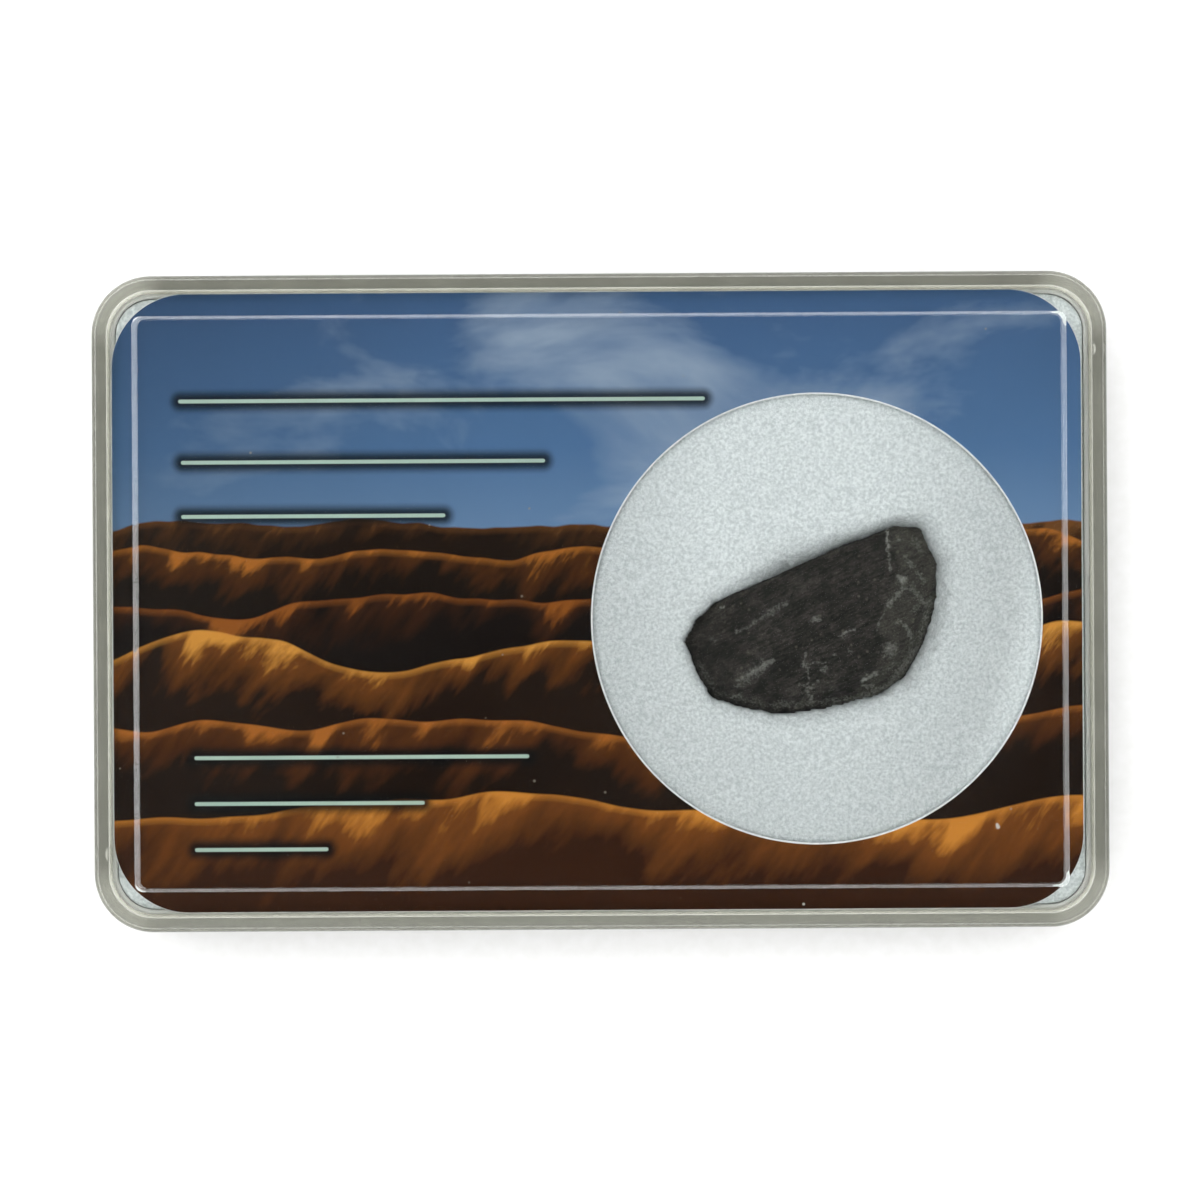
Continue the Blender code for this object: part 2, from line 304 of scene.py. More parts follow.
world = bpy.data.worlds.new("soft_dome")
bpy.context.scene.world = world
world.use_nodes = True
tree = world.node_tree
tree.nodes.clear()
where = add(tree, "TexCoord")
split = add(tree, "SeparateXYZ", None, {"Vector": where.outputs["Generated"]})
dome = add(tree, "ValToRGB", {"stops": (
    (0.0, "#6e6e6e"), (0.76, "#6e6e6e"), (0.82, "#ffffff"), (0.968, "#ffffff"), (0.982, "#202020"),
    (1.0, "#0c0c0c"))}, {"Fac": split.outputs["Z"]})
key_side = add(tree, "VectorMath", {"operation": "DOT_PRODUCT", 1: (-0.55, 0.50, 0.67)},
               {0: where.outputs["Generated"]})
key_lobe = add(tree, "MapRange", {"To Min": 0.8, "To Max": 2.1}, {"Value": key_side})
sky = add(tree, "VectorMath", {"operation": "SCALE"}, {0: dome, "Scale": key_lobe})
light = add(tree, "Background", {"Strength": 3.1}, {"Color": sky})
add(tree, "OutputWorld", None, {"Surface": light.outputs["Background"]})

# %% [markdown]
# ## The clear lid
# The lid is injection-moulded clear polystyrene: a thin tray turned upside down. Its top has a shallow
# step round the middle, so that boxes stack. It could be cut out of solid blocks, but the real wall is
# even, so one block is rounded, its underside is inset by the wall and pushed in, and a rim is inset on
# its top.

# %% Shape the lid
lid = rounded_block("clear_lid", lid_low, lid_high, CORNER_RADIUS, 16)
bpy.ops.object.mode_set(mode="EDIT")
pick_faces(lid, lambda middle, normal: normal.z < -0.9)
bpy.ops.mesh.inset(thickness=LID_WALL)
bpy.ops.mesh.extrude_region_move(TRANSFORM_OT_translate={"value": (0.0, 0.0, LID_CEILING - lid_low.z)})
pick_faces(lid, lambda middle, normal: normal.z > 0.9)
bpy.ops.mesh.inset(thickness=RIM_WIDTH)
round_ring(lid, lid_low.z, 0.08 * MM, 2)
round_ring(lid, LID_CEILING, 0.35 * MM, 4)
pick_edges(lid, lambda a, b, normals: sharp_ring(lid_high.z)(a, b, normals)
           and min(abs(normals[0].z), abs(normals[1].z)) < 0.1)
bpy.ops.mesh.bevel(offset=EDGE_RADIUS, segments=6, affect="EDGES")
bpy.ops.object.mode_set(mode="OBJECT")

# %% [markdown]
# The step's corners are tighter than an inset of the lid's own outline would give, so it is cut with a
# shallow tool of its own. The tool's sides flare outwards, which gives the step its slope.

# %% Cut the step into the lid
panel = Vector((lid_high.x - STEP_INSET, lid_high.y - STEP_INSET, STEP_DEPTH))
cutter = rounded_block("step_cutter", (-panel.x, -panel.y, lid_high.z - panel.z),
                       (panel.x, panel.y, lid_high.z + panel.z), STEP_CORNER, 8)
bpy.ops.object.mode_set(mode="EDIT")
for way in (-1.0, 1.0):
    pick_faces(cutter, lambda middle, normal: normal.z * way > 0.9)
    flare = (1.0 + way * (STEP_RUN + STEP_EXTRA) / panel.x, 1.0 + way * STEP_RUN / panel.y, 1.0)
    bpy.ops.transform.resize(value=flare, center_override=(0.0, 0.0, 0.0))
bpy.ops.object.mode_set(mode="OBJECT")
combine(lid, cutter, "DIFFERENCE")
take(lid)
bpy.ops.object.mode_set(mode="EDIT")
for step_height in (lid_high.z, lid_high.z - STEP_DEPTH):
    round_ring(lid, step_height, 0.04 * MM, 2)
bpy.ops.object.mode_set(mode="OBJECT")

# %% [markdown]
# ## The clear base
# The base is the other half of the box: a tray with a neck that the lid slides over. The block is the
# lower wall. Its top is inset and drawn up for the neck, then inset again and pushed down to the floor.
# The underside gets an inset ring too, because the ring and the floor inside it have different finishes.

# %% Shape the base
base = rounded_block("clear_base", base_low, (base_high.x, base_high.y, SEAM_HEIGHT), CORNER_RADIUS, 16)
bpy.ops.object.mode_set(mode="EDIT")
pick_faces(base, lambda middle, normal: normal.z > 0.9)
bpy.ops.mesh.inset(thickness=NECK_INSET)
bpy.ops.mesh.extrude_region_move(TRANSFORM_OT_translate={"value": (0.0, 0.0, base_high.z - SEAM_HEIGHT)})
bpy.ops.mesh.inset(thickness=NECK_WALL)
down = FLOOR_THICKNESS - base_high.z
bpy.ops.mesh.extrude_region_move(TRANSFORM_OT_translate={"value": (0.0, 0.0, down)})
pick_faces(base, lambda middle, normal: normal.z < -0.9)
bpy.ops.mesh.inset(thickness=NECK_INSET + NECK_WALL)
round_ring(base, base_high.z, 0.18 * MM, 3)
round_ring(base, FLOOR_THICKNESS, 0.45 * MM, 4)
round_ring(base, base_low.z, 0.12 * MM, 3)
bpy.ops.object.mode_set(mode="OBJECT")

# %% [markdown]
# Two small bumps on the neck snap into dimples in the lid. Each is a flattened ball, joined to the neck
# and cut a little larger from the lid's wall.

# %% Snap bumps and dimples
BUMP_Y = 21.3 * MM
BUMP_Z = 7.6 * MM


def flat_ball(name, x, y, reach, long, tall):
    """A ball squashed to a bump, so that it stands out of a short side."""
    bpy.ops.mesh.primitive_uv_sphere_add(segments=32, ring_count=16, radius=1.0, location=(x, y, BUMP_Z),
                                         scale=(reach, long / 2, tall / 2))
    return settle(name)


for side in (1.0, -1.0):
    neck_face = side * (base_high.x - NECK_INSET)
    combine(base, flat_ball("bump", neck_face, side * BUMP_Y, 0.55 * MM, 1.0 * MM, 0.8 * MM), "UNION")
    lid_face = side * (lid_high.x - LID_WALL)
    combine(lid, flat_ball("dimple", lid_face, side * BUMP_Y, 0.55 * MM, 1.6 * MM, 1.4 * MM), "DIFFERENCE")
for piece in (lid, base):
    finish(piece, 30)
    keep_flats_flat(piece)

# %% [markdown]
# Clear polystyrene has a high index for a plastic, 1.59. It has four finishes here. The pane, moulded
# against polished steel, is almost mirror smooth. The rims are rubbed by handling, and looking down
# through them is looking along a thick wall with a faint grey-green cast, so they scatter a little and
# look an even olive grey. Round the four corners and along the lower side their tint is painted paler,
# as painted light. The upright walls are clearer. The floor and the top of the neck have a matt moulded
# texture, which looks pale.

# %% Clear polystyrene
def clear_polystyrene(name, tint, see_through, roughness):
    material, tree, shader = new_material(name)
    shader.inputs["Base Color"].default_value = colour(tint)
    shader.inputs["Transmission Weight"].default_value = see_through
    shader.inputs["IOR"].default_value = 1.59
    shader.inputs["Roughness"].default_value = roughness
    return material


def inwards(x, y):
    """How far a place lies inside the box's rounded outline, in metres."""
    past_x = abs(x) - (lid_high.x - CORNER_RADIUS)
    past_y = abs(y) - (lid_high.y - CORNER_RADIUS)
    return CORNER_RADIUS - math.hypot(max(past_x, 0.0), max(past_y, 0.0)) - min(max(past_x, past_y), 0.0)


CORNER_ZONE = 6.0 * MM


def paint_light_on_walls(material):
    """Make the tint paler round the four corners and along the lower side: painted light, for the brighter
    look that the corners and the lower wall get from how the light falls.
    """
    tree = material.node_tree
    shader = next(node for node in tree.nodes if node.type == "BSDF_PRINCIPLED")
    coords = add(tree, "TexCoord")
    both = add(tree, "VectorMath", {"operation": "ABSOLUTE"}, {0: coords.outputs["Object"]})
    straight = (lid_high.x - CORNER_ZONE, lid_high.y - CORNER_ZONE, 0.0)
    past = add(tree, "VectorMath", {"operation": "SUBTRACT", 1: straight}, {0: both})
    split = add(tree, "SeparateXYZ", None, {"Vector": past})
    nearer = add(tree, "Math", {"operation": "MINIMUM"}, {0: split.outputs["X"], 1: split.outputs["Y"]})
    share = add(tree, "MapRange", {"From Max": 2.6 * MM}, {"Value": nearer})
    plan = add(tree, "SeparateXYZ", None, {"Vector": coords.outputs["Object"]})
    lit_lower_side = add(tree, "MapRange", {"From Min": -24.0 * MM, "From Max": -27.0 * MM, "To Max": 0.55},
                  {"Value": plan.outputs["Y"]})
    paler = add(tree, "Math", {"operation": "MAXIMUM"}, {0: share, 1: lit_lower_side})
    rubbed = add(tree, "TexNoise", {"Scale": 420.0, "Detail": 3.0}, {"Vector": coords.outputs["Object"]})
    wall = add(tree, "ValToRGB", {"stops": ((0.35, "#adaea2"), (0.65, "#b8b9ad"))}, {"Fac": rubbed})
    # Painted light: the tint turns paler towards the four corners and along the lower side.
    tint = add(tree, "Mix", {"data_type": "RGBA", 7: colour("#d8d9ce")}, {0: paler, 6: wall})
    tree.links.new(tint.outputs[2], shader.inputs["Base Color"])


polished = clear_polystyrene("clear_moulded_polystyrene", "#fcfdfc", 1.0, 0.02)
# The rims' finish is real scuffing in its roughness, and painted light in its paler corners and lower side.
scuffed_and_painted_light = clear_polystyrene("scuffed_clear_polystyrene_walls_with_painted_light", "#b2b3a7", 0.84, 0.14)
paint_light_on_walls(scuffed_and_painted_light)
upright = clear_polystyrene("clear_polystyrene_side_walls", "#eff0e9", 0.97, 0.06)
matt = clear_polystyrene("matt_clear_polystyrene_floor", "#f4f5f1", 0.45, 0.30)
FINISHES = (polished, scuffed_and_painted_light, upright, matt)
wall_widths = {"box_lid": RIM_WIDTH, "box_base": NECK_INSET + NECK_WALL + 0.02 * MM}
for piece, node in ((lid, "box_lid"), (base, "box_base")):
    piece.data.materials.clear()
    for material in FINISHES:
        piece.data.materials.append(material)
    for face in piece.data.polygons:
        level = abs(face.normal.z) > 0.3
        outer = inwards(face.center.x, face.center.y) < wall_widths[node]
        on_neck = piece is base and level and face.center.z > base_high.z - 0.2 * MM
        on_floor = not outer and face.center.z < FLOOR_THICKNESS + 0.01 * MM
        if on_neck or on_floor:
            face.material_index = FINISHES.index(matt)
        elif outer:
            face.material_index = FINISHES.index(scuffed_and_painted_light if level else upright)
    print(node, "has", sum(face.material_index > 0 for face in piece.data.polygons), "rubbed or matt faces")
    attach(piece, "root")
    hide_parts(node)

# %% [markdown]
# ## The stone's outline
# The stone is a broken fragment, so it is bounded by rough flats. Each entry below is one side of it: the
# direction that it faces, how far out it lies, how high its edge is, and how the rock leans above and
# below that edge. Lengths are in mm and angles in degrees. The broad faces on top and underneath follow,
# each by its direction, its lean up from level and a place on it.

# %% Sides of the stone
STONE_CENTRE = Vector((18.14 * MM, -1.68 * MM, 9.4 * MM))
STONE_SIDES = (
    (-154.7, 11.09, 0.0, 34.0, -20.0),
    (-105.4, 8.93, -0.2, 42.0, -15.0),
    (-85.0, 8.02, -0.1, 44.0, -18.0),
    (-76.4, 8.12, -0.1, 38.0, -24.0),
    (-57.3, 8.77, -0.2, 34.0, -20.0),
    (-36.9, 9.45, -0.2, 30.0, -18.0),
    (-22.3, 9.81, 0.0, 36.0, -16.0),
    (-16.4, 10.11, 0.0, 34.0, -22.0),
    (4.5, 11.56, 0.1, 46.0, -20.0),
    (36.0, 12.70, 0.2, 40.0, -26.0),
    (88.4, 8.26, 0.4, 24.0, -14.0),
    (110.0, 5.12, 0.3, 22.0, -12.0),
    (114.0, 4.85, 0.3, 20.0, -10.0),
    (128.3, 6.53, 0.2, 30.0, -16.0),
    (149.2, 8.96, 0.1, 28.0, -26.0),
)
STONE_BROADS = (
    (100.0, 86.5, (0.0, 0.0, 1.45)),
    (-8.0, 74.0, (5.7, 0.0, 1.45)),
    (200.0, 80.0, (-6.2, 0.0, 1.35)),
    (-92.0, 71.0, (0.0, -5.2, 1.05)),
    (0.0, -90.0, (0.0, 0.0, -4.3)),
    (25.0, -62.0, (4.5, 0.0, -3.9)),
    (170.0, -66.0, (-5.0, 0.0, -3.9)),
    (-80.0, -58.0, (0.0, -3.4, -3.8)),
    (95.0, -60.0, (0.0, 2.6, -3.9)),
)


def facing(direction, lean):
    """The unit vector of a direction round the stone and a lean up from level, both in degrees."""
    turn = math.radians(direction)
    rise = math.radians(lean)
    return Vector((math.cos(turn) * math.cos(rise), math.sin(turn) * math.cos(rise), math.sin(rise)))


# %% [markdown]
# ## The stone
# A displaced ball would look like a pebble. A fragment keeps flat fracture faces that meet in edges, so a
# block is bisected by each face, then chipped along its edges, then remeshed to an even fine grain and
# roughened.

# %% Cut and chip the block
CHIP_COUNT = 34
CHIP_SHALLOW = 0.20 * MM
CHIP_DEEP = 0.70 * MM
GOLDEN_TURN = 137.5


def slice_off(normal, point):
    """Cut away everything beyond a plane and close the cut."""
    bpy.ops.mesh.select_all(action="SELECT")
    bpy.ops.mesh.bisect(plane_co=point, plane_no=normal, use_fill=True, clear_outer=True,
                        threshold=0.001 * MM)


bpy.ops.mesh.primitive_cube_add(size=40.0 * MM, location=STONE_CENTRE)
stone = settle("dark_stone")
bpy.ops.object.mode_set(mode="EDIT")
for direction, reach, rise, upper, lower in STONE_SIDES:
    edge = STONE_CENTRE + facing(direction, 0.0) * reach * MM + Vector((0.0, 0.0, rise * MM))
    slice_off(facing(direction, upper), edge)
    slice_off(facing(direction, lower), edge)
for direction, lean, place in STONE_BROADS:
    slice_off(facing(direction, lean), STONE_CENTRE + Vector(place) * MM)
for number in range(CHIP_COUNT):
    share = number / (CHIP_COUNT - 1)
    lean = (42.0 + 26.0 * (number * 0.618 % 1.0)) * (1.0 if number % 3 else -1.0)
    depth = CHIP_SHALLOW + (CHIP_DEEP - CHIP_SHALLOW) * (number * 0.382 % 1.0) * (1.0 - 0.4 * share)
    out = facing(GOLDEN_TURN * number, lean)
    corners = bmesh.from_edit_mesh(stone.data).verts
    reach = max(corner.co.dot(out) for corner in corners)
    slice_off(out, out * (reach - depth))
bpy.ops.object.mode_set(mode="OBJECT")
print("cut stone has", len(stone.data.polygons), "fracture faces")

# %% [markdown]
# The grain of the remesh is fine enough for chips and pits of a few tenths of a millimetre. The roughness
# is built up in layers: broad swells, chips, hollows, hackly steps, streaks along the rock's grain, grit
# and pits.

# %% Roughen the fracture faces
STONE_GRAIN = 0.115 * MM
GRAIN_RUN = Vector((math.cos(math.radians(26.0)), math.sin(math.radians(26.0)), 0.0))

take(stone)
bpy.ops.object.modifier_add(type="REMESH")
stone.modifiers[-1].mode = "VOXEL"
stone.modifiers[-1].voxel_size = STONE_GRAIN
bpy.ops.object.modifier_apply(modifier=stone.modifiers[-1].name)
bpy.ops.object.mode_set(mode="EDIT")
bpy.ops.mesh.select_all(action="SELECT")
bpy.ops.mesh.vertices_smooth(factor=0.5, repeat=14)
bpy.ops.object.mode_set(mode="OBJECT")


def hackle(place):
    """Sharp-edged small steps, as rock breaks: a ridged noise in two sizes."""
    coarse = 1.0 - 2.0 * abs(noise.noise(place * 0.9 + Vector((2.0, 8.0, 4.0))))
    fine = 1.0 - 2.0 * abs(noise.noise(place * 2.3 + Vector((6.0, 1.0, 3.0))))
    return 0.6 * coarse + 0.4 * fine


def pit(place):
    """A round hollow in some of the cells of a scatter of points."""
    distances, points = noise.voronoi(place * 0.8 + Vector((5.0, 5.0, 1.0)))
    chosen = noise.cell(points[0] * 7.3) > 0.62
    return max(0.0, 1.0 - distances[0] / 0.30) ** 2 if chosen else 0.0


surface = bmesh.new()
surface.from_mesh(stone.data)
surface.normal_update()
moves = []
for point in surface.verts:
    place = point.co / MM
    swell = noise.noise(place * 0.30 + Vector((3.1, 7.7, 1.3)))
    chip = noise.noise(place * 0.85 + Vector((11.0, 2.0, 5.0)))
    cells = noise.voronoi(place * 0.42 + Vector((0.5, 4.0, 9.0)))[0][0]
    grit = noise.noise(place * 4.5)
    along = place.x * GRAIN_RUN.x + place.y * GRAIN_RUN.y
    across = place.y * GRAIN_RUN.x - place.x * GRAIN_RUN.y
    streak = noise.noise(Vector((along * 0.7, across * 2.6, place.z * 1.5)))
    depth = 0.10 * swell + 0.06 * chip - 0.08 * cells + 0.10 * (hackle(place) - 0.6)
    depth += 0.07 * streak + 0.05 * grit
    moves.append(point.normal * min(depth - 0.16 * pit(place), 0.14) * MM)
for point, move in zip(surface.verts, moves):
    point.co += move
surface.to_mesh(stone.data)
surface.free()
top = max(point.co.z for point in stone.data.vertices)
for point in stone.data.vertices:
    point.co.z += stone_high.z - top
finish(stone, 60)

outline = np.zeros(240)
for point in stone.data.vertices:
    away = point.co - STONE_CENTRE
    sector = int((math.atan2(away.y, away.x) / math.tau + 0.5) * len(outline)) % len(outline)
    outline[sector] = max(outline[sector], away.xy.length)


def outside_by(x, y):
    """How far points lie outside the stone's outline, in metres. Inside it is negative."""
    heading = np.arctan2(y - STONE_CENTRE.y, x - STONE_CENTRE.x) / math.tau + 0.5
    middles = (np.arange(len(outline)) + 0.5) / len(outline)
    reach = np.interp(heading, middles, outline, period=1.0)
    return 0.92 * (np.hypot(x - STONE_CENTRE.x, y - STONE_CENTRE.y) - reach)


# %% [markdown]
# The marks on the broken face are drawn where they lie: pale veins and scratches, streaks of crushed
# rock, round mineral grains, and the lighter facet to the right of the ridge. The wide pale strokes along
# the lower and right edge are painted light, which lifts the shade where that edge curves away from the
# light. Each is a short stroke from one pixel of the photograph to another, with a width in pixels and a
# strength. Noise makes the strokes ragged. They are kept as a painted value on the mesh, because they
# belong to this stone and don't repeat.

# %% Paint the marks on the stone
PIXEL = 0.0846 * MM
MARKS_ORIGIN = (815.0, 620.0)
MARKS = (
    ((889.6, 528), (890.4, 548), 3.0, 0.85), ((890.4, 548), (892.0, 570), 2.6, 0.6),
    ((888, 540), (904, 540), 3.0, 0.45), ((901, 579), (905, 581), 7.0, 0.75),
    ((889, 608), (905, 588), 8.0, 0.5), ((879, 628), (886, 612), 5.0, 0.45),
    ((891, 651), (893, 650), 22.0, 0.50), ((899, 622), (909, 626), 4.5, 0.5),
    ((909, 626), (914, 640), 4.5, 0.55), ((914, 640), (912, 655), 4.5, 0.4),
    ((912, 588), (928, 604), 11.0, 0.42), ((908, 557), (914, 566), 8.0, 0.42),
    ((920, 574), (926, 582), 8.0, 0.45), ((896, 664), (884, 674), 9.0, 0.36),
    ((914, 536), (926, 552), 9.0, 0.36), ((916, 612), (926, 596), 9.0, 0.36),
    ((864, 681), (868, 679), 5.0, 0.9), ((868, 679), (878, 675), 5.0, 0.6),
    ((866, 688), (874, 687), 4.0, 0.5), ((880, 655), (886, 653), 6.0, 0.3),
    ((806, 652), (806, 667), 3.0, 0.50), ((808, 666), (811, 690), 3.4, 0.46),
    ((808, 689), (813, 703), 6.0, 0.52), ((805, 664), (829, 663), 3.4, 0.44),
    ((800, 685), (818, 684), 3.0, 0.42), ((822, 671), (827, 669), 5.0, 0.45),
    ((740, 682), (764, 665), 17.0, 0.46), ((750, 675), (771, 660), 6.5, 0.62),
    ((733, 697), (742, 696), 5.0, 0.55), ((737, 633), (764, 617), 5.0, 0.42),
    ((758, 620), (788, 603), 8.0, 0.42), ((842, 635), (856, 629), 4.5, 0.6),
    ((814, 621), (820, 618), 6.5, 0.55), ((724, 606), (724.4, 606), 2.4, 0.9),
    ((713, 638), (717, 640), 5.5, 0.4), ((700, 661), (709, 684), 4.5, 0.35),
    ((835, 655), (838, 655), 4.5, 0.4), ((850, 650), (851, 651), 4.0, 0.45),
    ((770, 570), (773, 572), 4.0, 0.3), ((846, 699), (850, 700), 5.0, 0.45),
    # Painted light: these wide pale strokes run along the lower and right edge, where the stone curves away
    # from the light.
    ((716, 694), (775, 706), 12.0, 0.34), ((775, 706), (858, 701), 14.0, 0.38),
    ((858, 701), (892, 686), 13.0, 0.46), ((786, 694), (842, 690), 10.0, 0.24),
    ((892, 686), (920, 648), 13.0, 0.46), ((700, 664), (716, 692), 9.0, 0.38),
    ((920, 648), (934, 600), 9.0, 0.40),
)
DARK_MARKS = (
    ((757, 691), (764, 682), 9.0, 0.9), ((880, 640), (874, 652), 6.0, 0.55),
    ((774, 668), (794, 662), 12.0, 0.5), ((893, 556), (900, 568), 7.0, 0.5),
    ((700, 628), (740, 660), 14.0, 0.25), ((800, 610), (850, 590), 16.0, 0.3),
)
RIDGE_Y = (520, 545, 571, 600, 625, 645, 665, 682, 705)
RIDGE_X = (888, 890, 896, 886, 877, 884, 878, 862, 842)
RAGGED = 3.0


def stroke_strength(x, y, marks):
    """The strongest mark at each point, fading at its rim. x and y are photo pixels."""
    result = np.zeros_like(x)
    for (ax, ay), (bx, by), width, strength in marks:
        along = np.array((bx - ax, by - ay), float)
        share = ((x - ax) * along[0] + (y - ay) * along[1]) / max(float(along @ along), 0.01)
        share = np.clip(share, 0.0, 1.0)
        away = np.hypot(x - ax - share * along[0], y - ay - share * along[1])
        fade = np.exp(-(away / (0.5 * width + 0.7)) ** 2)
        result = np.maximum(result, strength * fade)
    return result


count = len(stone.data.vertices)
points = np.empty(count * 3)
stone.data.vertices.foreach_get("co", points)
points = points.reshape(-1, 3)
pixel_x = MARKS_ORIGIN[0] + (points[:, 0] - STONE_CENTRE.x) / PIXEL
pixel_y = MARKS_ORIGIN[1] - (points[:, 1] - STONE_CENTRE.y) / PIXEL
apart = Vector((9.0, 9.0, 9.0))
ragged_x = np.array([noise.fractal(Vector(p) / MM * 1.7, 0.6, 2.0, 4) for p in points])
ragged_y = np.array([noise.fractal(Vector(p) / MM * 1.7 + apart, 0.6, 2.0, 4) for p in points])
pixel_x = pixel_x + RAGGED * ragged_x
pixel_y = pixel_y + RAGGED * ragged_y
from_above = np.clip((points[:, 2] - (STONE_CENTRE.z - 1.4 * MM)) / (0.6 * MM), 0.0, 1.0)
pale = stroke_strength(pixel_x, pixel_y, MARKS) * from_above
dark = stroke_strength(pixel_x, pixel_y, DARK_MARKS) * from_above
beyond_ridge = np.clip((pixel_x - np.interp(pixel_y, RIDGE_Y, RIDGE_X)) / 5.0, 0.0, 1.0) * from_above
for name, values in (("pale_mark", pale), ("dark_mark", dark), ("light_facet", beyond_ridge)):
    painted = stone.data.attributes.new(name, "FLOAT", "POINT")
    painted.data.foreach_set("value", values.astype(np.float32))
print("pale marks cover", round(100 * float((pale > 0.2).mean()), 1), "% of the stone")

# %% [markdown]
# The rock is a dark, fine, earthy matrix crowded with small round mineral grains, and combed with faint
# streaks along its grain. Fresh breaks are dull, with a faint glint on crystal faces, so the roughness is
# high and uneven. The grains are drawn at 0.3 to 1 mm. Pale dust breaks up the painted marks.

# %% Dark chondritic rock
def dark_rock():
    material, tree, shader = new_material("broken_dark_chondritic_rock")
    place = place_in_mm(tree)
    blotches = add(tree, "TexNoise", {"Scale": 0.55, "Detail": 6.0, "Roughness": 0.62}, {"Vector": place})
    matrix = add(tree, "ValToRGB", {"stops": (
        (0.30, "#181714"), (0.50, "#272522"), (0.70, "#3b3934"))}, {"Fac": blotches})
    combed = add(tree, "Mapping", {"vector_type": "TEXTURE", "Scale": (1.5, 0.4, 0.8),
                                   "Rotation": (0.0, 0.0, math.radians(26.0))}, {"Vector": place})
    fibres = add(tree, "TexNoise", {"Scale": 1.6, "Detail": 6.0, "Roughness": 0.7}, {"Vector": combed})
    comb = add(tree, "MapRange", {"From Min": 0.35, "From Max": 0.65, "To Min": 0.35, "To Max": 1.75},
               {"Value": fibres})
    specks = add(tree, "TexNoise", {"Scale": 6.5, "Detail": 3.0, "Roughness": 0.8}, {"Vector": place})
    fleck = add(tree, "MapRange", {"From Min": 0.35, "From Max": 0.68, "To Min": 0.5, "To Max": 1.55},
                {"Value": specks})
    uneven = add(tree, "Math", {"operation": "MULTIPLY"}, {0: comb, 1: fleck})
    streaky = add(tree, "VectorMath", {"operation": "SCALE"}, {0: matrix, "Scale": uneven})
    facet = add(tree, "Attribute", {"attribute_name": "light_facet"})
    facet_share = add(tree, "MapRange", {"From Min": 0.40, "From Max": 0.62, "To Min": 0.25},
                      {"Value": fibres})
    facet_part = add(tree, "Math", {"operation": "MULTIPLY"}, {0: facet.outputs["Fac"], 1: facet_share})
    facet_tone = add(tree, "VectorMath", {"operation": "SCALE", 0: colour("#3d3c36")[:3]},
                     {"Scale": fleck})
    greener = add(tree, "Mix", {"data_type": "RGBA"}, {0: facet_part, 6: streaky, 7: facet_tone})
    grains = add(tree, "TexVoronoi", {"Scale": 1.5, "Randomness": 1.0}, {"Vector": place})
    grain_rim = add(tree, "MapRange", {"From Min": 0.16, "From Max": 0.26, "To Min": 1.0, "To Max": 0.0},
                    {"Value": grains})
    grain_pick = add(tree, "SeparateColor", None, {"Color": grains.outputs["Color"]})
    chosen = add(tree, "MapRange", {"From Min": 0.62, "From Max": 0.95, "To Max": 0.32},
                 {"Value": grain_pick.outputs["Red"]})
    grain_share = add(tree, "Math", {"operation": "MULTIPLY"}, {0: grain_rim, 1: chosen})
    speckled = add(tree, "Mix", {"data_type": "RGBA", 7: colour("#6d6a5e")},
                   {0: grain_share, 6: greener})
    dust_and_contact_shadow = add(tree, "TexNoise", {"Scale": 4.2, "Detail": 5.0, "Roughness": 0.8}, {"Vector": place})
    dusted = add(tree, "MapRange", {"From Min": 0.30, "From Max": 0.70, "To Min": -0.95, "To Max": 0.05},
                 {"Value": dust_and_contact_shadow.outputs["Fac"]})
    # The pale marks include painted light along the lower and right edge.
    mark = add(tree, "Attribute", {"attribute_name": "pale_mark"})
    marks_and_edge_light = add(tree, "Math", {"operation": "MULTIPLY_ADD", 1: 1.55},
               {0: mark.outputs["Fac"], 2: dusted})
    mark_share = add(tree, "MapRange", {"From Max": 0.95, "To Max": 0.72}, {"Value": marks_and_edge_light})
    marked = add(tree, "Mix", {"data_type": "RGBA", 7: colour("#9a9b95")}, {0: mark_share, 6: speckled})
    # The dark marks darken the rock's colour where they lie.
    dark_mark_value = add(tree, "Attribute", {"attribute_name": "dark_mark"})
    darkened_rock = add(tree, "Mix", {"data_type": "RGBA", 7: colour("#0f0e0c")},
                   {0: dark_mark_value.outputs["Fac"], 6: marked})
    tree.links.new(darkened_rock.outputs[2], shader.inputs["Base Color"])
    glint = add(tree, "MapRange", {"From Min": 0.3, "From Max": 0.7, "To Min": 0.58, "To Max": 0.85},
                {"Value": dust_and_contact_shadow.outputs["Fac"]})
    tree.links.new(glint.outputs["Result"], shader.inputs["Roughness"])
    shader.inputs["IOR"].default_value = 1.5
    shader.inputs["Specular IOR Level"].default_value = 0.22
    crumb = add(tree, "TexNoise", {"Scale": 7.0, "Detail": 5.0, "Roughness": 0.75}, {"Vector": place})
    bump = add(tree, "Bump", {"Strength": 0.9, "Distance": 0.09 * MM}, {"Height": crumb})
    tree.links.new(bump.outputs["Normal"], shader.inputs["Normal"])
    return material


stone.data.materials.clear()
stone.data.materials.append(dark_rock())
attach(stone, "root")
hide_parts("meteorite")

# %% [markdown]
# ## The foam pad
# The pad is soft white foam, cut to fill the tray. Card and lid press it flat, the stone sinks into it,
# and in the window it bulges a little. A plain block would miss the dip, so the block is remeshed finely,
# more so under the window, and its points are then moved like a sculptor would press them. The dip's
# depth and width are given by heading round the stone, in mm. A painted shadow darkens the foam along
# the stone's edge, kept as a painted value.

